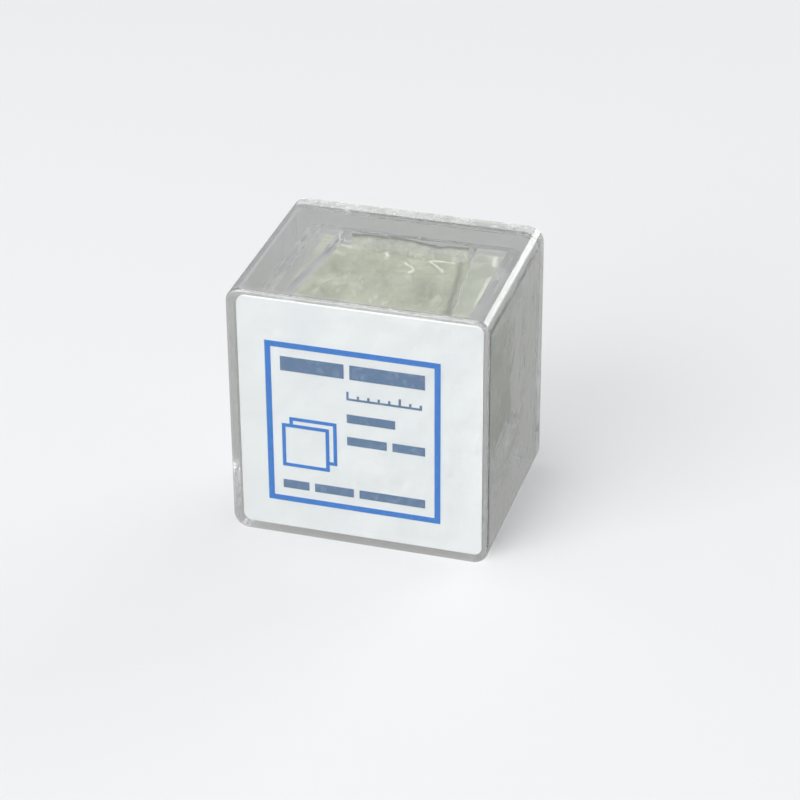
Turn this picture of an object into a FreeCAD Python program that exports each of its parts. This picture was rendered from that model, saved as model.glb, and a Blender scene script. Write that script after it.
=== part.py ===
import FreeCAD, Part
import math
import os

# Clear plastic box of cover slips, lying on one side wall as it is stored on a bench.
# X is left to right, +Y runs from the labelled face of the lid back to the base, +Z is up.
# The origin is the centre of the bounding box's underside. All sizes are in millimetres.

# Stack of cover slips, each one parallel to the label
slip_side = 18.0
slip_thickness = 0.15
slip_count = 100
slip_air = 0.002

# Clear film wrapped round the stack, with its ends folded in over the upper and lower sides
film_thickness = 0.08
film_slack = 0.02
fold_depth = 5.2
fold_gap = 0.3

# Base: a plate, a low plinth that locates the lid, and a well with finger notches
plate_thickness = 1.4
plinth_height = 0.35
plinth_clearance = 0.1
well_clearance = 0.3
well_wall = 1.25
well_rise = 0.05
well_outer_radius = 0.8
well_inner_radius = 0.05
notch_floor_width = 12.8
notch_flare_deg = 5.6
notch_sill = 0.65
notch_floor_radius = 1.0
arm_tip_radius = 0.9
arm_tip_share = 0.8
well_rim_radius = 0.5

# Lid: a cap that slides over the well and closes on the plate
lid_wall = 0.7
lid_face = 0.8
lid_side_gap = 1.15
lid_top_gap = 1.48
outer_corner_radius = 1.5
inner_corner_radius = 0.8
face_edge_radius = 0.35

# Label card held just inside the lid's face
card_thickness = 0.25
card_side_clearance = 0.1
card_front_gap = 0.05
card_back_gap = 1.5

# Print on the card: a square border, with rows of bars, a scale and a drawn slip inside it
ink_thickness = 0.02
border_line = 0.57
border_left_margin = 2.61
border_right_margin = 3.99
border_top_margin = 4.23
border_bottom_margin = 2.77
print_margin = 0.9
heading_height = 1.5
heading_gap = 1.3
row_height = 0.9
row_gap = 1.5
word_gap = 0.55
scale_pitch = 1.0
scale_line = 0.22
long_mark_every = 5
short_mark_share = 0.6
drawing_line = 0.35
drawing_size = 4.6
drawing_offset = 0.75
column_gap = 1.0

# Word lengths of each printed row, as parts of the row's own width
heading_words = (0.46, 0.54)
side_rows = ((0.62,), (0.55, 0.45))
foot_words = (0.2, 0.3, 0.5)

# Half sizes of everything that nests, from the slips outwards
wrap_skin = film_slack + film_thickness
wrap_half = slip_side / 2 + wrap_skin
well_inner_half = wrap_half + well_clearance
well_outer_half = well_inner_half + well_wall
cavity_half_x = well_outer_half + lid_side_gap
cavity_half_z = well_outer_half + lid_top_gap
box_half_x = cavity_half_x + lid_wall
box_half_z = cavity_half_z + lid_wall
mid_z = box_half_z

# Planes along the depth, from the base's outer face to the lid's
slip_pitch = slip_thickness + slip_air
stack_depth = slip_count * slip_pitch - slip_air
wrap_depth = stack_depth + 2 * wrap_skin
well_height = wrap_depth + well_rise
label_depth = card_back_gap + card_thickness + card_front_gap
box_depth = plate_thickness + plinth_height + well_height + label_depth + lid_face
back_y = box_depth / 2
seam_y = back_y - plate_thickness
well_floor_y = seam_y - plinth_height
well_tip_y = well_floor_y - well_height
card_back_y = well_tip_y - card_back_gap
card_front_y = card_back_y - card_thickness
cavity_front_y = card_front_y - card_front_gap
front_y = cavity_front_y - lid_face

# Each notch, from its sill to the well's free end, and what its sides leave of the arms there
notch_floor_y = well_floor_y - notch_sill
notch_flare = math.tan(math.radians(notch_flare_deg))
notch_half_floor = notch_floor_width / 2
notch_half_tip = notch_half_floor + notch_flare * (notch_floor_y - well_tip_y)
arm_tip_width = well_inner_half - notch_half_tip

# The wrapped stack has slid against the well's right wall and lies on its lower one, on the folded film
stack_x = well_clearance
stack_z = mid_z - well_clearance + film_thickness

# The card has slid the same way inside the lid
card_half_x = cavity_half_x - card_side_clearance
card_half_z = cavity_half_z - card_side_clearance
card_x = card_side_clearance
card_z = mid_z - card_side_clearance

# Past a face that a cutter has to clear, and how close two places are when they are the same
overshoot = 1.0
same_place = 1e-6


def vec(x, y, z):
    return FreeCAD.Vector(x, y, z)


def block(x0, x1, y0, y1, z0, z1):
    return Part.makeBox(x1 - x0, y1 - y0, z1 - z0, vec(x0, y0, z0))


def centred_block(half_x, half_z, y0, y1, x=0.0, z=mid_z):
    return block(x - half_x, x + half_x, y0, y1, z - half_z, z + half_z)


def edges_along_y(shape):
    """Straight edges that run along the depth."""
    found = []
    for edge in shape.Edges:
        start, end = edge.Vertexes[0].Point, edge.Vertexes[-1].Point
        if abs(start.x - end.x) < same_place and abs(start.z - end.z) < same_place:
            found.append(edge)
    return found


def edges_on_plane_y(shape, y):
    """Edges that lie wholly in the plane at one depth."""
    return [e for e in shape.Edges if all(abs(v.Y - y) < same_place for v in e.Vertexes)]


def rounded_block(half_x, half_z, radius, y0, y1, x=0.0, z=mid_z):
    """A block with its four depth edges rounded."""
    solid = centred_block(half_x, half_z, y0, y1, x, z)
    return solid.makeFillet(radius, edges_along_y(solid))


def make_lid():
    shell = rounded_block(box_half_x, box_half_z, outer_corner_radius, front_y, seam_y)
    shell = shell.makeFillet(face_edge_radius, edges_on_plane_y(shell, front_y))
    cavity = rounded_block(
        cavity_half_x, cavity_half_z, inner_corner_radius, cavity_front_y, seam_y + overshoot
    )
    return shell.cut(cavity)


def make_notch_cutter():
    """The space of one finger notch, from its sill to the well's free end, where it is wider."""
    mouth_y = well_tip_y - overshoot
    half_mouth = notch_half_tip + notch_flare * overshoot
    z_low = mid_z + wrap_half - well_clearance
    corners = [
        vec(-notch_half_floor, notch_floor_y, z_low),
        vec(notch_half_floor, notch_floor_y, z_low),
        vec(half_mouth, mouth_y, z_low),
        vec(-half_mouth, mouth_y, z_low),
    ]
    outline = Part.Face(Part.makePolygon(corners + corners[:1]))
    reach = mid_z + well_outer_half + overshoot - z_low
    prism = outline.extrude(vec(0, 0, reach))
    floor_edges = [
        edge
        for edge in edges_on_plane_y(prism, notch_floor_y)
        if abs(edge.Length - reach) < same_place
    ]
    return prism.makeFillet(notch_floor_radius, floor_edges)


def arm_tip_edges(well):
    """The corners where a notch's sides meet the free ends of the well's arms."""
    found = []
    for edge in edges_on_plane_y(well, well_tip_y):
        middle = edge.valueAt((edge.FirstParameter + edge.LastParameter) / 2)
        inner_reach = max(abs(middle.x), abs(middle.z - mid_z))
        crosses_wall = abs(edge.Length - well_wall) < same_place
        if crosses_wall and well_inner_half < inner_reach < well_outer_half:
            found.append(edge)
    return found


def make_base_tray():
    plate = rounded_block(box_half_x, box_half_z, outer_corner_radius, seam_y, back_y)
    plinth = rounded_block(
        cavity_half_x - plinth_clearance,
        cavity_half_z - plinth_clearance,
        inner_corner_radius,
        well_floor_y,
        seam_y,
    )
    well = rounded_block(
        well_outer_half, well_outer_half, well_outer_radius, well_tip_y, well_floor_y
    )
    hollow = rounded_block(
        well_inner_half, well_inner_half, well_inner_radius, well_tip_y - overshoot, well_floor_y
    )
    well = well.cut(hollow)
    notch = make_notch_cutter()
    for quarter in range(4):
        turned = notch.copy()
        turned.rotate(vec(0, 0, mid_z), vec(0, 1, 0), 90 * quarter)
        well = well.cut(turned)
    tip_radius = min(arm_tip_radius, arm_tip_share * arm_tip_width)
    well = well.makeFillet(tip_radius, arm_tip_edges(well))
    # The rims round the arms and notches are smooth loops, so the edges at the free ends lead to all of them
    well = well.makeFillet(well_rim_radius, edges_on_plane_y(well, well_tip_y))
    return plate.fuse(plinth).fuse(well).removeSplitter()


def fold_flap(long_side, z0):
    """A flap of film folded in from one side of an end, with its two ends cut at 45 degrees."""
    outer = long_side / 2 - fold_gap
    inner = outer - fold_depth
    corners = [
        vec(-outer, 0, z0),
        vec(outer, 0, z0),
        vec(inner, -fold_depth, z0),
        vec(-inner, -fold_depth, z0),
    ]
    return Part.Face(Part.makePolygon(corners + corners[:1])).extrude(vec(0, 0, film_thickness))


def make_end_folds(z0):
    """The four flaps that close one end of the wrap, each from its own side."""
    middle = vec(stack_x, well_floor_y - wrap_depth / 2, 0)
    folds = []
    for quarter in range(4):
        along_x = quarter % 2 == 0
        long_side = 2 * wrap_half if along_x else wrap_depth
        reach = wrap_depth / 2 if along_x else wrap_half
        flap = fold_flap(long_side, z0)
        flap.translate(vec(0, reach - film_thickness, 0))
        flap.rotate(vec(0, 0, 0), vec(0, 0, 1), 90 * quarter)
        flap.translate(middle)
        folds.append(flap)
    return folds


def make_film_wrap():
    wrap_front_y = well_floor_y - wrap_depth
    outside = centred_block(wrap_half, wrap_half, wrap_front_y, well_floor_y, stack_x, stack_z)
    room = wrap_half - film_thickness
    inside = centred_block(
        room,
        room,
        wrap_front_y + film_thickness,
        well_floor_y - film_thickness,
        stack_x,
        stack_z,
    )
    skin = outside.cut(inside)
    upper = make_end_folds(stack_z + wrap_half)
    lower = make_end_folds(stack_z - wrap_half - film_thickness)
    return skin.fuse(upper + lower)


def make_cover_slips():
    half = slip_side / 2
    slips = []
    for number in range(slip_count):
        back = well_floor_y - wrap_skin - number * slip_pitch
        slips.append(centred_block(half, half, back - slip_thickness, back, stack_x, stack_z))
    return Part.makeCompound(slips)


def make_label_card():
    return rounded_block(
        card_half_x, card_half_z, inner_corner_radius, card_front_y, card_back_y, card_x, card_z
    )


# Outer edges of the printed border, and the room for print inside it
border_x0 = card_x - card_half_x + border_left_margin
border_x1 = card_x + card_half_x - border_right_margin
border_z0 = card_z - card_half_z + border_bottom_margin
border_z1 = card_z + card_half_z - border_top_margin
print_x0 = border_x0 + border_line + print_margin
print_x1 = border_x1 - border_line - print_margin
print_z0 = border_z0 + border_line + print_margin
print_z1 = border_z1 - border_line - print_margin
column_x0 = print_x0 + drawing_size + drawing_offset + column_gap


def ink(x0, x1, z0, z1):
    """A field of ink on the front of the card."""
    return block(x0, x1, card_front_y - ink_thickness, card_front_y, z0, z1)


def ink_frame(x0, x1, z0, z1, line):
    return ink(x0, x1, z0, z1).cut(ink(x0 + line, x1 - line, z0 + line, z1 - line))


def word_bars(words, x0, x1, z0, height):
    """One printed row: bars as long as its words, with a gap between them."""
    room = x1 - x0 - word_gap * (len(words) - 1)
    bars = []
    for word in words:
        bars.append(ink(x0, x0 + word * room, z0, z0 + height))
        x0 += word * room + word_gap
    return bars


def make_scale(x0, x1, z0):
    """A line with upright marks at an even pitch."""
    marks = int((x1 - x0 - scale_line) / scale_pitch) + 1
    scale = ink(x0, x0 + (marks - 1) * scale_pitch + scale_line, z0, z0 + scale_line)
    for mark in range(marks):
        left = x0 + mark * scale_pitch
        tall = row_height if mark % long_mark_every == 0 else row_height * short_mark_share
        scale = scale.fuse(ink(left, left + scale_line, z0, z0 + tall))
    return scale.removeSplitter()


def make_drawn_slips(x0, z0):
    """Two square slips, the rear one shown only where the front one leaves it free."""
    front = ink_frame(x0, x0 + drawing_size, z0, z0 + drawing_size, drawing_line)
    x1 = x0 + drawing_offset
    z1 = z0 + drawing_offset
    rear = ink_frame(x1, x1 + drawing_size, z1, z1 + drawing_size, drawing_line)
    hidden = ink(x0, x0 + drawing_size, z0, z0 + drawing_size)
    return front.fuse(rear.cut(hidden)).removeSplitter()


def make_label_print():
    """The bright print: the border and the drawn slips."""
    border = ink_frame(border_x0, border_x1, border_z0, border_z1, border_line)
    drawing_z = print_z0 + row_height + row_gap
    return Part.makeCompound([border, make_drawn_slips(print_x0, drawing_z)])


def make_label_rows():
    """The darker print: a heading, a scale, the side rows and the foot row."""
    heading_z = print_z1 - heading_height
    rows = word_bars(heading_words, print_x0, print_x1, heading_z, heading_height)
    row_z = heading_z - heading_gap - row_height
    rows.append(make_scale(column_x0, print_x1, row_z))
    for words in side_rows:
        row_z -= row_gap + row_height
        rows.extend(word_bars(words, column_x0, print_x1, row_z, row_height))
    rows.extend(word_bars(foot_words, print_x0, print_x1, print_z0, row_height))
    return Part.makeCompound(rows)


nodes = {
    "base_tray": make_base_tray,
    "film_wrap": make_film_wrap,
    "cover_slips": make_cover_slips,
    "lid": make_lid,
    "label_card": make_label_card,
    "label_print": make_label_print,
    "label_rows": make_label_rows,
}

os.makedirs("parts", exist_ok=True)
for node, make in nodes.items():
    shape = make()
    shape.exportStep("parts/" + node + ".step")
    size = shape.BoundBox
    print(node, len(shape.Solids), "solids", round(shape.Volume, 3), "mm3", shape.isValid(), size)
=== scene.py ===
import math

import bmesh
import bpy
from mathutils import Matrix, Vector, noise


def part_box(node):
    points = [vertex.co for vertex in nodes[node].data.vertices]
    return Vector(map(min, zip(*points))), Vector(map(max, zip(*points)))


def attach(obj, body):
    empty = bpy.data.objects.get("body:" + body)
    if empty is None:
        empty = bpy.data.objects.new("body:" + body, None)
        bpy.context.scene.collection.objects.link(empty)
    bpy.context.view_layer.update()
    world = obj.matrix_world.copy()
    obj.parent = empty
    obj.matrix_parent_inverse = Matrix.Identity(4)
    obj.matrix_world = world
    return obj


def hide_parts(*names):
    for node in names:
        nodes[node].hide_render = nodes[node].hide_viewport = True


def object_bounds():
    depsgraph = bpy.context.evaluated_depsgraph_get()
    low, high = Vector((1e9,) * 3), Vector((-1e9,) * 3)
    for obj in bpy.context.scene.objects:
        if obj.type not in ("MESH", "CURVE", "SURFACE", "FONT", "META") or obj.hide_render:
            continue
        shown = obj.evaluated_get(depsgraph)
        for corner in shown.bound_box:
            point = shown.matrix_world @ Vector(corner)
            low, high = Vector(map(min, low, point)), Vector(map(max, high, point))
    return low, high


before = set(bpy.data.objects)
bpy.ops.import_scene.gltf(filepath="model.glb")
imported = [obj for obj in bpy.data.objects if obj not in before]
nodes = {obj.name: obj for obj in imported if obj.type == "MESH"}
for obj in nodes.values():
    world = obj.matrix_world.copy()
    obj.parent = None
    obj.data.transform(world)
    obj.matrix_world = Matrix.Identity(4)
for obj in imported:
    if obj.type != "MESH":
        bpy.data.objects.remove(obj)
cad_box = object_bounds()

MM = 0.001
low, high = cad_box
centre = (low + high) / 2

# The camera, as fitted to the photograph's 800 pixel frame
AZIMUTH = math.radians(17.02)
ELEVATION = math.radians(29.43)
ROLL = math.radians(0.37)
DISTANCE = 261.2 * MM
AIM_RIGHT = 1.08 * MM
AIM_UP = -2.15 * MM
LENS_MM = 123.8
SENSOR_MM = 36.0
CLIP_NEAR = 0.01
CLIP_FAR = 10

# The clear box: its refractive index, its look where it isn't worn, and the share of the lamps'
# light that passes one of its surfaces
POLYSTYRENE = 1.59
BOX_TINT = (0.97, 0.98, 0.975)
BOX_CLARITY = 0.98
BOX_ROUGHNESS = 0.02
LAMP_SHARE = 0.99

# Flow ripples and fine marks on the box. A pattern's scale is in waves per metre, and its height
# in metres
RIPPLES = {"scale": 260, "detail": 2}
RIPPLE_HEIGHT = 0.00004
MARKS = {"scale": 2600, "detail": 4, "stretch": (1, 0.35, 1)}
MARK_HEIGHT = 0.000002

# The plane where the lid's rim seats on the plate, and how near to it a face counts as seated
SEAM_Y = 8.499 * MM
SEAM_REACH = 0.004 * MM

# How far in from the box's edges its wear and painted highlight marks reach, and their weights
# where they are few
SCUFF_AND_HIGHLIGHT_REACH = 0.9 * MM
LEFT_SCUFF_AND_HIGHLIGHT = 0.3
FRONT_SCUFF_AND_HIGHLIGHT = 0.28
PLATE_RIM_SCUFF_AND_HIGHLIGHT = 0.85
UPRIGHT_SCUFF_AND_HIGHLIGHT = 0.6

# How the marks break up along an edge: the pattern, its span from least to full, and the least; and
# what a full mark takes off the clarity, to whiten it as wear and painted highlight, and adds to
# the roughness
SCUFF_AND_HIGHLIGHT_PATTERN = {"scale": 750, "detail": 5, "roughness": 0.65}
SCUFF_AND_HIGHLIGHT_SPAN = (0.42, 0.56)
SCUFF_AND_HIGHLIGHT_LEAST = 0.6
SCUFF_AND_HIGHLIGHT_WHITENING = 0.55
SCUFF_ROUGHNESS = 0.3

# The film's mesh: cells along each side of the wrap, how far its skin lies inside the solid's
# faces, how far it may stand proud of that skin above and at the sides, and how fast that tapers
# off towards the wrap's edges
FILM_CELLS = 118
FILM_SKIN = 0.12 * MM
FILM_RISE = 0.36 * MM
FILM_SIDE_SLACK = 0.3 * MM
FILM_TAPER = 12
ON_FACE = 0.4999

# Shares of that rise by level, waves, crumples, folds and wrinkles, above and at the sides
TOP_LEVEL, TOP_WAVES, TOP_CRUMPLES, TOP_FOLDS, TOP_WRINKLES = 0.2, 0.2, 0.2, 0.5, 0.1
SIDE_LEVEL, SIDE_WAVES, SIDE_CRUMPLES = 0.4, 0.4, 0.3

# Waves per metre of the film's noise, and how sharp and how patchy its wrinkles are
WAVE_SCALE = 420
CRUMPLE_SCALE, CRUMPLE_OCTAVES, CRUMPLE_FADE = 900, 4, 0.6
WRINKLE_SCALE = (520, 520, 210)
WRINKLE_SHARPNESS = 13
PATCH_SCALE, PATCH_PLACE = 190, (7, 3, 5)
PATCH_LEVEL, PATCH_CONTRAST = 0.45, 1.6

# How creased a wrinkle counts for the material's painted highlight, on the upper side and on the
# others
TOP_WRINKLE_CREASE = 0.3
SIDE_WRINKLE_CREASE = 0.4

# The folds that stand out on the film's upper side, raised in its mesh and given a painted
# highlight
# tint: from, to, width and strength, in millimetres from the box's middle line
FILM_CREASES = (
    ((2.1, 6.85), (4.6, 7.0), 0.19, 1.0),
    ((2.1, 6.8), (4.0, 4.8), 0.18, 1.0),
    ((0.1, 5.6), (0.8, 5.1), 0.18, 1.0),
    ((0.8, 5.1), (1.3, 4.2), 0.18, 1.0),
    ((1.3, 4.2), (1.0, 3.7), 0.18, 1.0),
    ((1.0, 3.7), (0.2, 3.9), 0.15, 0.7),
    ((-2.15, 7.0), (-1.95, 6.6), 0.3, 1.0),
    ((0.3, 6.4), (0.35, 6.3), 0.16, 0.7),
    ((-7.4, 7.5), (-6.0, 7.6), 0.3, 0.8),
    ((-7.2, 6.6), (-8.0, -3.2), 0.5, 0.4),
    ((8.9, 3.6), (9.1, -2.0), 0.3, 0.9),
    ((8.4, 7.6), (8.7, 5.9), 0.4, 1.0),
    ((7.2, 5.2), (7.9, 6.4), 0.4, 0.4),
    ((5.4, 5.2), (4.9, -1.0), 0.5, 0.2),
    ((-3.6, 3.0), (-2.8, -1.5), 0.6, 0.2),
    ((-5.2, 5.0), (-6.3, 0.4), 0.5, 0.25),
    ((-0.9, 0.5), (-0.4, -5.8), 0.5, 0.25),
    ((2.4, 1.5), (3.4, -6.4), 0.5, 0.2),
    ((4.6, 3.4), (5.0, -6.2), 0.4, 0.25),
    ((-0.9, -2.4), (-0.5, -3.3), 0.17, 0.6),
    ((1.9, -2.2), (2.3, -3.4), 0.16, 0.6),
    ((3.0, -4.4), (3.7, -5.6), 0.17, 0.6),
    ((5.5, -2.2), (5.9, -3.2), 0.17, 0.6),
    ((-4.4, -1.2), (-4.9, -2.2), 0.17, 0.45),
)

# A painted shadow: the strip painted on the film's upper side beside the right-hand arm, where the
# arm's cut face keeps light off it: from, to, width and strength, in millimetres from the box's
# middle line
PAINTED_FILM_SHADOWS = (
    ((4.95, 8.3), (5.45, 5.1), 0.36, 0.85),
    ((5.45, 5.1), (6.0, 1.5), 0.36, 0.85),
    ((6.0, 1.5), (6.7, -3.8), 0.38, 0.85),
    ((6.7, -3.8), (7.0, -5.8), 0.38, 0.85),
)

# The loose fold that stands up at the back: its ends, the heights of its free edge above the box's
# centre in millimetres, its thickness, how deep its foot sits in the film, and its mesh
FOLD_LEFT, FOLD_RIGHT = -5.7 * MM, 5.85 * MM
FOLD_TOPS = (10.5, 10.62, 10.65, 10.75, 10.62, 10.4, 10.3, 10.5, 10.6)
FOLD_THICKNESS = 0.06 * MM
FOLD_FOOT = 0.1 * MM
FOLD_COLUMNS, FOLD_ROWS = 72, 10

# Its place, lean and sway in millimetres, the sway's waves per metre along x and z, how creased the
# fold is for its painted highlight, and the painted shade along its free edge by rows of cells down
# from it
FOLD_Y, FOLD_LEAN, FOLD_SWAY = 7.18, 0.12, 0.1
SWAY_SCALE_X, SWAY_SCALE_Z, SWAY_PLACE = 600, 350, 4.0
FOLD_CREASE, FOLD_WAVE_CREASE = 0.1, 0.3
FOLD_EDGE_PAINTED_SHADE = {0: 1.0, 1: 0.9, 2: 0.3}

# The film's material: its tints by pattern, the pale tint painted as highlight on its folds and the
# tint painted as shade, how it hazes what it covers, its gloss and its creases
FILM_PATTERN = {"scale": 420, "detail": 5, "roughness": 0.6, "distortion": 0.6}
FILM_TINTS = ((0.36, (0.41, 0.43, 0.335)), (0.62, (0.68, 0.7, 0.57)))
CREASE_HIGHLIGHT_TINT = (0.86, 0.87, 0.77)
PAINTED_SHADE_TINT = (0.11, 0.12, 0.1)
CREASE_PATTERN = {
    "scale": 900, "detail": 6, "roughness": 0.7, "distortion": 1.2, "stretch": (1, 0.45, 1),
}
CREASE_HEIGHT = 0.00012
HAZE_SPAN = (0.42, 0.68)
HAZE = (0.16, 0.62)
LINE_HAZE = 0.8
FILM_ROUGHNESS = 0.16
FILM_GLOSS = 0.9

# The slips' cut edges: fine lines along the slips over broad patches, and the tones they give
SLIP_LINES = {"scale": 1500, "detail": 4, "roughness": 0.65, "stretch": (0.25, 4.5, 0.25)}
SLIP_PATCHES = {"scale": 220, "detail": 3}
SLIP_TONES = (
    (0.36, (0.18, 0.195, 0.135)),
    (0.5, (0.3, 0.325, 0.23)),
    (0.64, (0.43, 0.455, 0.34)),
)
SLIP_ROUGHNESS = 0.25
COVER_GLASS = 1.52

# The card: its tones, slow waves and fibres
CARD_PATTERN = {"scale": 160, "detail": 5, "roughness": 0.6}
CARD_TONES = ((0.3, (0.83, 0.855, 0.88)), (0.7, (0.89, 0.91, 0.91)))
CARD_ROUGHNESS = 0.6
CARD_WAVES = {"scale": 210, "detail": 3}
CARD_WAVE_HEIGHT = 0.00035
CARD_FIBRES = {"scale": 3500, "detail": 3}
CARD_FIBRE_HEIGHT = 0.00001

# The inks, each as laid on and as thinned, where the thin patches end, and their finish
BLUE_INK = ((0.0, 0.18, 0.62), (0.003, 0.215, 0.67))
DARK_INK = ((0.09, 0.18, 0.33), (0.17, 0.27, 0.43))
INK_PATTERN = {"scale": 1400, "detail": 4, "roughness": 0.7}
INK_THIN, INK_FULL = 0.32, 0.5
INK_ROUGHNESS = 0.5
INK_GLOSS = 0.15

# Light levels of the surroundings, as seen through and in the clear walls
SKY = (0.80, 0.81, 0.83)
SKY_STRENGTH = 0.62
FLOOR_HALF = 2.5
FLOOR_COLOUR = (0.77, 0.77, 0.775)
FLOOR_ROUGHNESS = 0.7
FLOOR_SEEN = (0.35, 0.35, 0.345)
FLOOR_SEEN_SHARE = 0.9

# Lamps: name, place, size, watts
LAMPS = (
    ("overhead_lamp", (-0.1, -0.1, 0.75), (0.45, 0.45), 2.4),
    ("front_lamp", (-0.35, -0.6, 0.35), (0.6, 0.6), 3.5),
    ("edge_lamp", (0.37, 0.6, 0.22), (0.46, 0.24), 1.5),
)

# Light bounces many times inside clear walls before it leaves them
LIGHT_BOUNCES = 48


def make_camera():
    back = Vector((
        math.sin(AZIMUTH) * math.cos(ELEVATION),
        -math.cos(AZIMUTH) * math.cos(ELEVATION),
        math.sin(ELEVATION),
    ))
    right = Vector((math.cos(AZIMUTH), math.sin(AZIMUTH), 0))
    up = back.cross(right)
    eye = centre + back * DISTANCE
    aim = centre + right * AIM_RIGHT + up * AIM_UP
    camera = bpy.data.objects.new("camera", bpy.data.cameras.new("camera"))
    bpy.context.scene.collection.objects.link(camera)
    camera.data.sensor_width = SENSOR_MM
    camera.data.lens = LENS_MM
    camera.data.clip_start = CLIP_NEAR
    camera.data.clip_end = CLIP_FAR
    turn = (aim - eye).to_track_quat("-Z", "Y").to_matrix()
    rolled = turn @ Matrix.Rotation(-ROLL, 3, "Z")
    camera.matrix_world = Matrix.Translation(eye) @ rolled.to_4x4()
    bpy.context.scene.camera = camera


def new_material(name):
    material = bpy.data.materials.new(name)
    material.use_nodes = True
    tree = material.node_tree
    return material, tree, tree.nodes["Principled BSDF"]


def add(tree, kind, **settings):
    node = tree.nodes.new(kind)
    for key, value in settings.items():
        setattr(node, key, value)
    return node


def maths(tree, operation, first, second=None, clamp=False):
    """One arithmetic step on values, each a number or a node's output."""
    node = add(tree, "ShaderNodeMath", operation=operation, use_clamp=clamp)
    for socket, value in zip(node.inputs, (first, second)):
        if isinstance(value, (int, float)):
            socket.default_value = value
        elif value is not None:
            tree.links.new(value, socket)
    return node.outputs[0]


def map_range(tree, value, span, result):
    """A value carried from one span of numbers to another, and held at its ends."""
    node = add(tree, "ShaderNodeMapRange")
    node.inputs["From Min"].default_value, node.inputs["From Max"].default_value = span
    node.inputs["To Min"].default_value, node.inputs["To Max"].default_value = result
    tree.links.new(value, node.inputs["Value"])
    return node.outputs["Result"]


def place_on_object(tree):
    """The x, y and z of a place on the object."""
    place = add(tree, "ShaderNodeTexCoord")
    split = add(tree, "ShaderNodeSeparateXYZ")
    tree.links.new(place.outputs["Object"], split.inputs[0])
    return split.outputs


def noise_map(tree, scale, detail=3.0, roughness=0.5, distortion=0.0, stretch=(1, 1, 1)):
    """A noise value by place on the object, with waves per metre as its scale."""
    place = add(tree, "ShaderNodeTexCoord")
    mapping = add(tree, "ShaderNodeMapping")
    mapping.inputs["Scale"].default_value = stretch
    texture = add(tree, "ShaderNodeTexNoise")
    texture.inputs["Scale"].default_value = scale
    texture.inputs["Detail"].default_value = detail
    texture.inputs["Roughness"].default_value = roughness
    texture.inputs["Distortion"].default_value = distortion
    tree.links.new(place.outputs["Object"], mapping.inputs["Vector"])
    tree.links.new(mapping.outputs["Vector"], texture.inputs["Vector"])
    return texture.outputs["Fac"]


def ramp(tree, value, stops):
    """Colours along a value, from rows of (place, colour)."""
    node = add(tree, "ShaderNodeValToRGB")
    elements = node.color_ramp.elements
    while len(elements) < len(stops):
        elements.new(0.5)
    for element, (place, colour) in zip(elements, stops):
        element.position = place
        element.color = (*colour, 1)
    tree.links.new(value, node.inputs["Fac"])
    return node.outputs["Color"]


def mix_colour(tree, share, first, second):
    """A colour from a node, mixed towards a fixed one."""
    node = add(tree, "ShaderNodeMixRGB")
    node.inputs["Color2"].default_value = (*second, 1)
    tree.links.new(share, node.inputs["Fac"])
    tree.links.new(first, node.inputs["Color1"])
    return node.outputs["Color"]


def bump(tree, value, distance, normal=None):
    """A surface direction from a height map, laid over another one where that is given."""
    node = add(tree, "ShaderNodeBump")
    node.inputs["Distance"].default_value = distance
    node.inputs["Strength"].default_value = 1.0
    tree.links.new(value, node.inputs["Height"])
    if normal is not None:
        tree.links.new(normal, node.inputs["Normal"])
    return node.outputs["Normal"]


def mix_into_surface(tree, share, first, second):
    """The material's surface, as one shader mixed towards another."""
    mix = add(tree, "ShaderNodeMixShader")
    tree.links.new(share, mix.inputs["Fac"])
    tree.links.new(first, mix.inputs[1])
    tree.links.new(second, mix.inputs[2])
    tree.links.new(mix.outputs["Shader"], tree.nodes["Material Output"].inputs["Surface"])


def let_lamps_through(tree, shader, share):
    """Clear walls don't shut the lamps' light out: a share of it passes straight in."""
    path = add(tree, "ShaderNodeLightPath")
    clear = add(tree, "ShaderNodeBsdfTransparent")
    clear.inputs["Color"].default_value = (share, share, share, 1)
    mix_into_surface(
        tree, path.outputs["Is Shadow Ray"], shader.outputs["BSDF"], clear.outputs["BSDF"]
    )


def edge_scuffs_and_highlights(tree):
    """Whitened marks along the box's outer edges, most of them on the plate's rim: partly handling
    wear, partly painted highlight.
    """
    place = place_on_object(tree)
    near = []
    for axis in range(3):
        gap = maths(tree, "ABSOLUTE", maths(tree, "SUBTRACT", place[axis], centre[axis]))
        inset = (high[axis] - low[axis]) / 2 - SCUFF_AND_HIGHLIGHT_REACH
        past = maths(tree, "SUBTRACT", gap, inset)
        near.append(maths(tree, "DIVIDE", past, SCUFF_AND_HIGHLIGHT_REACH, clamp=True))
    for axis, least in ((0, LEFT_SCUFF_AND_HIGHLIGHT), (1, FRONT_SCUFF_AND_HIGHLIGHT)):
        side = maths(tree, "MAXIMUM", maths(tree, "GREATER_THAN", place[axis], 0.0), least)
        near[axis] = maths(tree, "MULTIPLY", near[axis], side)
    on_plate = maths(tree, "GREATER_THAN", place[1], SEAM_Y)
    rim = maths(tree, "MULTIPLY", on_plate, PLATE_RIM_SCUFF_AND_HIGHLIGHT)
    near[1] = maths(tree, "MAXIMUM", near[1], rim)
    upright = maths(tree, "MULTIPLY", maths(tree, "MULTIPLY", near[0], near[1]), UPRIGHT_SCUFF_AND_HIGHLIGHT)
    level = maths(tree, "MULTIPLY", near[1], near[2])
    along = maths(tree, "MULTIPLY", near[0], near[2])
    edge = maths(tree, "MAXIMUM", maths(tree, "MAXIMUM", upright, level), along)
    pattern = noise_map(tree, **SCUFF_AND_HIGHLIGHT_PATTERN)
    broken = map_range(tree, pattern, SCUFF_AND_HIGHLIGHT_SPAN, (SCUFF_AND_HIGHLIGHT_LEAST, 1.0))
    return maths(tree, "MULTIPLY", edge, broken)


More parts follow.
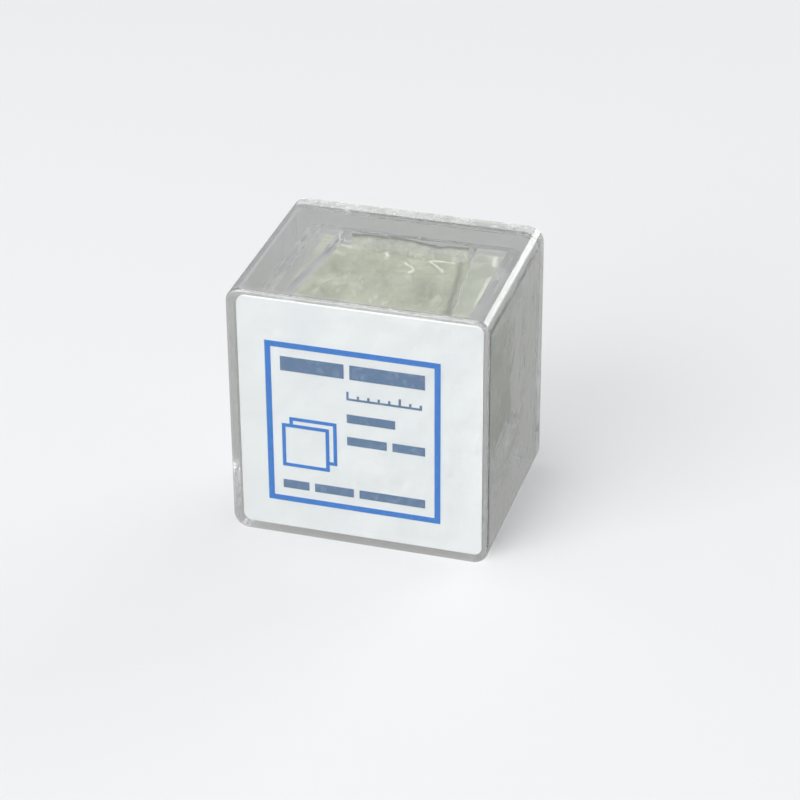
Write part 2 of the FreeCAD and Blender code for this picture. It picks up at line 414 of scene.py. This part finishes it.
def clear_plastic(name):
    """Clear moulded polystyrene, with faint flow ripples, fine marks and edges whitened by wear and
    painted highlight.
    """
    material, tree, shader = new_material(name)
    shader.inputs["Base Color"].default_value = (*BOX_TINT, 1)
    shader.inputs["IOR"].default_value = POLYSTYRENE
    scuffs_and_highlights = edge_scuffs_and_highlights(tree)
    # Painted highlight: the edges are whitened partly as wear and partly to stand in for the glints
    # along them
    whitening_and_highlight = maths(tree, "MULTIPLY", scuffs_and_highlights, SCUFF_AND_HIGHLIGHT_WHITENING)
    clear = maths(tree, "SUBTRACT", BOX_CLARITY, whitening_and_highlight)
    tree.links.new(clear, shader.inputs["Transmission Weight"])
    worn = maths(tree, "ADD", BOX_ROUGHNESS, maths(tree, "MULTIPLY", scuffs_and_highlights, SCUFF_ROUGHNESS))
    tree.links.new(worn, shader.inputs["Roughness"])
    # The rim and the plate touch with no air between them, so light passes straight on there
    off_seam = maths(tree, "ABSOLUTE", maths(tree, "SUBTRACT", place_on_object(tree)[1], SEAM_Y))
    tree.links.new(maths(tree, "GREATER_THAN", off_seam, SEAM_REACH), shader.inputs["Alpha"])
    ripples = bump(tree, noise_map(tree, **RIPPLES), RIPPLE_HEIGHT)
    marks = bump(tree, noise_map(tree, **MARKS), MARK_HEIGHT, normal=ripples)
    tree.links.new(marks, shader.inputs["Normal"])
    let_lamps_through(tree, shader, LAMP_SHARE)
    return material


def crumpled_film():
    """Thin clear film: it hazes what it covers, more on its creases; its folds get a pale painted
    highlight tint, and some places a painted shade tint.
    """
    material, tree, shader = new_material("crumpled_film")
    # Painted highlight: creases and folds are tinted pale where they would catch the light
    fold = add(tree, "ShaderNodeAttribute", attribute_name="crease").outputs["Fac"]
    # The "edge" values are painted shade: the painted shadow beside the right-hand arm and the line
    # painted along the back fold's free edge
    painted_shade_mask = add(tree, "ShaderNodeAttribute", attribute_name="edge").outputs["Fac"]
    tint = ramp(tree, noise_map(tree, **FILM_PATTERN), FILM_TINTS)
    with_painted_highlight = mix_colour(tree, fold, tint, CREASE_HIGHLIGHT_TINT)
    with_painted_shade = mix_colour(tree, painted_shade_mask, with_painted_highlight, PAINTED_SHADE_TINT)
    tree.links.new(with_painted_shade, shader.inputs["Base Color"])
    creases = noise_map(tree, **CREASE_PATTERN)
    haze = map_range(tree, creases, HAZE_SPAN, HAZE)
    on_lines = maths(tree, "MULTIPLY", maths(tree, "MAXIMUM", fold, painted_shade_mask), LINE_HAZE)
    tree.links.new(maths(tree, "MAXIMUM", haze, on_lines), shader.inputs["Alpha"])
    shader.inputs["Roughness"].default_value = FILM_ROUGHNESS
    shader.inputs["Specular IOR Level"].default_value = FILM_GLOSS
    tree.links.new(bump(tree, creases, CREASE_HEIGHT), shader.inputs["Normal"])
    return material


def slip_glass():
    """The slips' cut edges: grey-green, each a little lighter or darker than its neighbours."""
    material, tree, shader = new_material("slip_glass")
    both = maths(tree, "ADD", noise_map(tree, **SLIP_LINES), noise_map(tree, **SLIP_PATCHES))
    colour = ramp(tree, maths(tree, "MULTIPLY", both, 0.5), SLIP_TONES)
    tree.links.new(colour, shader.inputs["Base Color"])
    shader.inputs["Roughness"].default_value = SLIP_ROUGHNESS
    shader.inputs["IOR"].default_value = COVER_GLASS
    return material


def card_stock():
    """White card: faintly uneven in tone, in slow waves, with fibres in its surface."""
    material, tree, shader = new_material("card_stock")
    colour = ramp(tree, noise_map(tree, **CARD_PATTERN), CARD_TONES)
    tree.links.new(colour, shader.inputs["Base Color"])
    shader.inputs["Roughness"].default_value = CARD_ROUGHNESS
    waves = bump(tree, noise_map(tree, **CARD_WAVES), CARD_WAVE_HEIGHT)
    fibres = bump(tree, noise_map(tree, **CARD_FIBRES), CARD_FIBRE_HEIGHT, normal=waves)
    tree.links.new(fibres, shader.inputs["Normal"])
    return material


def printed_ink(name, full, thinned):
    """Ink laid on card: it thins a little in patches."""
    material, tree, shader = new_material(name)
    tones = ((INK_THIN, thinned), (INK_FULL, full))
    tree.links.new(ramp(tree, noise_map(tree, **INK_PATTERN), tones), shader.inputs["Base Color"])
    shader.inputs["Roughness"].default_value = INK_ROUGHNESS
    shader.inputs["Specular IOR Level"].default_value = INK_GLOSS
    return material


def floor_material():
    """A pale floor that keeps the shadow, and looks plain in and through clear walls."""
    material, tree, shader = new_material("pale_floor")
    shader.inputs["Base Color"].default_value = (*FLOOR_COLOUR, 1)
    shader.inputs["Roughness"].default_value = FLOOR_ROUGHNESS
    glow = add(tree, "ShaderNodeEmission")
    glow.inputs["Color"].default_value = (*FLOOR_SEEN, 1)
    path = add(tree, "ShaderNodeLightPath").outputs
    by_walls = maths(tree, "MAXIMUM", path["Is Glossy Ray"], path["Is Transmission Ray"])
    share = maths(tree, "MULTIPLY", by_walls, FLOOR_SEEN_SHARE)
    mix_into_surface(tree, share, shader.outputs["BSDF"], glow.outputs["Emission"])
    return material


def paint(node, material):
    mesh = nodes[node].data
    mesh.materials.clear()
    mesh.materials.append(material)


def in_metres(lines):
    """Lines on the film's upper side, from a table in millimetres."""
    return [
        (Vector(start) * MM, Vector(end) * MM, width * MM, strength)
        for start, end, width, strength in lines
    ]


def ridge(place, line):
    """How strong a line on the upper side is at a place: full on it, nothing past its width."""
    start, end, width, strength = line
    along = end - start
    share = max(0.0, min(1.0, (place - start).dot(along) / along.length_squared))
    gap = (place - start - along * share).length
    return strength * math.exp(-(gap / width) ** 2)


def wave(point):
    return noise.noise(point, noise_basis="PERLIN_NEW")


def wrinkle(point):
    """Fine crossing wrinkles, drawn out along the film's height: 1 on a line, mostly nothing."""
    line = wave(Vector(place * scale for place, scale in zip(point, WRINKLE_SCALE)))
    patch = wave(point * PATCH_SCALE + Vector(PATCH_PLACE))
    share = max(0.0, min(1.0, PATCH_LEVEL + PATCH_CONTRAST * patch))
    return max(0.0, 1 - abs(line) * WRINKLE_SHARPNESS) * share


def film_offset(point, normal, creases):
    """How far a point of the wrap stands off its skin, and how creased it is there for the painted
    highlight.
    """
    waves = wave(point * WAVE_SCALE)
    crumples = noise.turbulence(
        point * CRUMPLE_SCALE, CRUMPLE_OCTAVES, False,
        noise_basis="PERLIN_NEW", amplitude_scale=CRUMPLE_FADE,
    )
    wrinkles = wrinkle(point)
    if normal.z > 0.5:
        folds = max(ridge(Vector((point.x, point.y)), line) for line in creases)
        share = TOP_LEVEL + TOP_WAVES * waves + TOP_CRUMPLES * crumples
        rise = FILM_RISE * (share + TOP_FOLDS * folds + TOP_WRINKLES * wrinkles)
        return rise, max(folds, TOP_WRINKLE_CREASE * wrinkles)
    if normal.y < -0.5 or normal.x < -0.5:
        share = SIDE_LEVEL + SIDE_WAVES * waves + SIDE_CRUMPLES * crumples
        return FILM_SIDE_SLACK * share, SIDE_WRINKLE_CREASE * wrinkles
    return 0.0, SIDE_WRINKLE_CREASE * wrinkles


def fold_top(share):
    """The height of the fold's free edge, at a share of the way along it."""
    place = share * (len(FOLD_TOPS) - 1)
    left = min(int(place), len(FOLD_TOPS) - 2)
    blend = place - left
    blend = blend * blend * (3 - 2 * blend)
    return centre.z + (FOLD_TOPS[left] * (1 - blend) + FOLD_TOPS[left + 1] * blend) * MM


def add_back_fold(shell, creased, painted_shade_at):
    """The loose fold of film that stands up at the back of the upper side: a thin closed strip."""
    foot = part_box("film_wrap")[1][2] - FOLD_FOOT
    rings = []
    for column in range(FOLD_COLUMNS + 1):
        along = column / FOLD_COLUMNS
        top = fold_top(along)
        x = FOLD_LEFT + (FOLD_RIGHT - FOLD_LEFT) * along
        front, back = [], []
        for row in range(FOLD_ROWS + 1):
            z = foot + (top - foot) * row / FOLD_ROWS
            sway = wave(Vector((x * SWAY_SCALE_X, SWAY_PLACE, z * SWAY_SCALE_Z)))
            y = (FOLD_Y + FOLD_LEAN * row / FOLD_ROWS + FOLD_SWAY * sway) * MM
            front.append(shell.verts.new((x, y, z)))
            back.append(shell.verts.new((x, y + FOLD_THICKNESS, z)))
            for vert in (front[-1], back[-1]):
                creased[vert] = FOLD_CREASE + FOLD_WAVE_CREASE * max(0.0, sway)
                # Painted shade: a line along the fold's free edge, where it is seen edge-on
                painted_shade_at[vert] = FOLD_EDGE_PAINTED_SHADE.get(FOLD_ROWS - row, 0.0)
        rings.append(front + back[::-1])
    for first, second in zip(rings, rings[1:]):
        for index in range(len(first)):
            after = (index + 1) % len(first)
            shell.faces.new((first[index], second[index], second[after], first[after]))
    shell.faces.new(rings[0])
    shell.faces.new(rings[-1][::-1])


def crumple(shell, creased, painted_shade_at):
    """The wrap, from a cube of unit size cut into cells: drawn in a little, pushed out, creased."""
    box_low, box_high = (Vector(corner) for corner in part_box("film_wrap"))
    size = box_high - box_low
    middle = (box_low + box_high) / 2
    creases, painted_shadow_lines = in_metres(FILM_CREASES), in_metres(PAINTED_FILM_SHADOWS)
    for vert in shell.verts:
        creased[vert] = 0.0
        unit = vert.co.copy()
        point = middle + Vector(part * side for part, side in zip(unit, size))
        inset = Vector((0, 0, 0))
        push = Vector((0, 0, 0))
        for axis in range(3):
            if abs(unit[axis]) > ON_FACE:
                normal = Vector((0, 0, 0))
                normal[axis] = math.copysign(1, unit[axis])
                inset -= normal * FILM_SKIN
                rise, depth = film_offset(point, normal, creases)
                push += normal * rise
                creased[vert] = max(creased[vert], depth)
        if unit.z > ON_FACE:
            # Painted shadow of the right-hand arm on the film's upper side
            painted_shade_at[vert] = max(ridge(Vector((point.x, point.y)), line) for line in painted_shadow_lines)
        from_edge = min(0.5 - abs(part) if abs(part) < ON_FACE else 0.5 for part in unit)
        vert.co = point + inset + push * min(1.0, FILM_TAPER * from_edge)


def make_film():
    """The wrap as one closed crumpled skin, with its loose fold as a second one."""
    shell = bmesh.new()
    bmesh.ops.create_cube(shell, size=1)
    bmesh.ops.subdivide_edges(
        shell, edges=shell.edges[:], cuts=FILM_CELLS - 1, use_grid_fill=True
    )
    creased, painted_shade_at = {}, {}
    crumple(shell, creased, painted_shade_at)
    add_back_fold(shell, creased, painted_shade_at)
    bmesh.ops.recalc_face_normals(shell, faces=shell.faces[:])
    depths = [creased[vert] for vert in shell.verts]
    edges = [painted_shade_at.get(vert, 0.0) for vert in shell.verts]
    mesh = bpy.data.meshes.new("film")
    shell.to_mesh(mesh)
    shell.free()
    # The "crease" values carry the painted highlight on folds, and the "edge" values the painted
    # shade
    for name, values in (("crease", depths), ("edge", edges)):
        mesh.attributes.new(name, "FLOAT", "POINT").data.foreach_set("value", values)
    for polygon in mesh.polygons:
        polygon.use_smooth = True
    mesh.materials.append(crumpled_film())
    film = bpy.data.objects.new("film", mesh)
    bpy.context.scene.collection.objects.link(film)
    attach(film, "base")
    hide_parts("film_wrap")


def make_floor():
    mesh = bpy.data.meshes.new("floor")
    corners = [
        (x * FLOOR_HALF, y * FLOOR_HALF, low.z) for x, y in ((-1, -1), (1, -1), (1, 1), (-1, 1))
    ]
    mesh.from_pydata(corners, [], [(0, 1, 2, 3)])
    mesh.materials.append(floor_material())
    floor = bpy.data.objects.new("floor", mesh)
    bpy.context.scene.collection.objects.link(floor)


def make_lamp(name, place, size, watts):
    """A soft lamp that faces the box, and doesn't itself show through the clear walls."""
    lamp = bpy.data.lights.new(name, "AREA")
    lamp.shape = "RECTANGLE"
    lamp.size, lamp.size_y = size
    lamp.energy = watts
    holder = bpy.data.objects.new(name, lamp)
    bpy.context.scene.collection.objects.link(holder)
    holder.location = place
    holder.rotation_euler = (centre - Vector(place)).to_track_quat("-Z", "Y").to_euler()
    holder.visible_transmission = False


def make_lights():
    world = bpy.data.worlds.new("studio")
    bpy.context.scene.world = world
    world.use_nodes = True
    sky = world.node_tree.nodes["Background"]
    sky.inputs["Color"].default_value = (*SKY, 1)
    sky.inputs["Strength"].default_value = SKY_STRENGTH
    for lamp in LAMPS:
        make_lamp(*lamp)


make_camera()
plastic = clear_plastic("clear_box")
paint("lid", plastic)
paint("base_tray", plastic)
make_film()
paint("cover_slips", slip_glass())
paint("label_card", card_stock())
paint("label_print", printed_ink("blue_ink", *BLUE_INK))
paint("label_rows", printed_ink("dark_ink", *DARK_INK))
make_floor()
make_lights()

scene = bpy.context.scene
scene.view_settings.view_transform = "Standard"
scene.cycles.max_bounces = LIGHT_BOUNCES
scene.cycles.glossy_bounces = LIGHT_BOUNCES
scene.cycles.transmission_bounces = LIGHT_BOUNCES
scene.cycles.transparent_max_bounces = LIGHT_BOUNCES
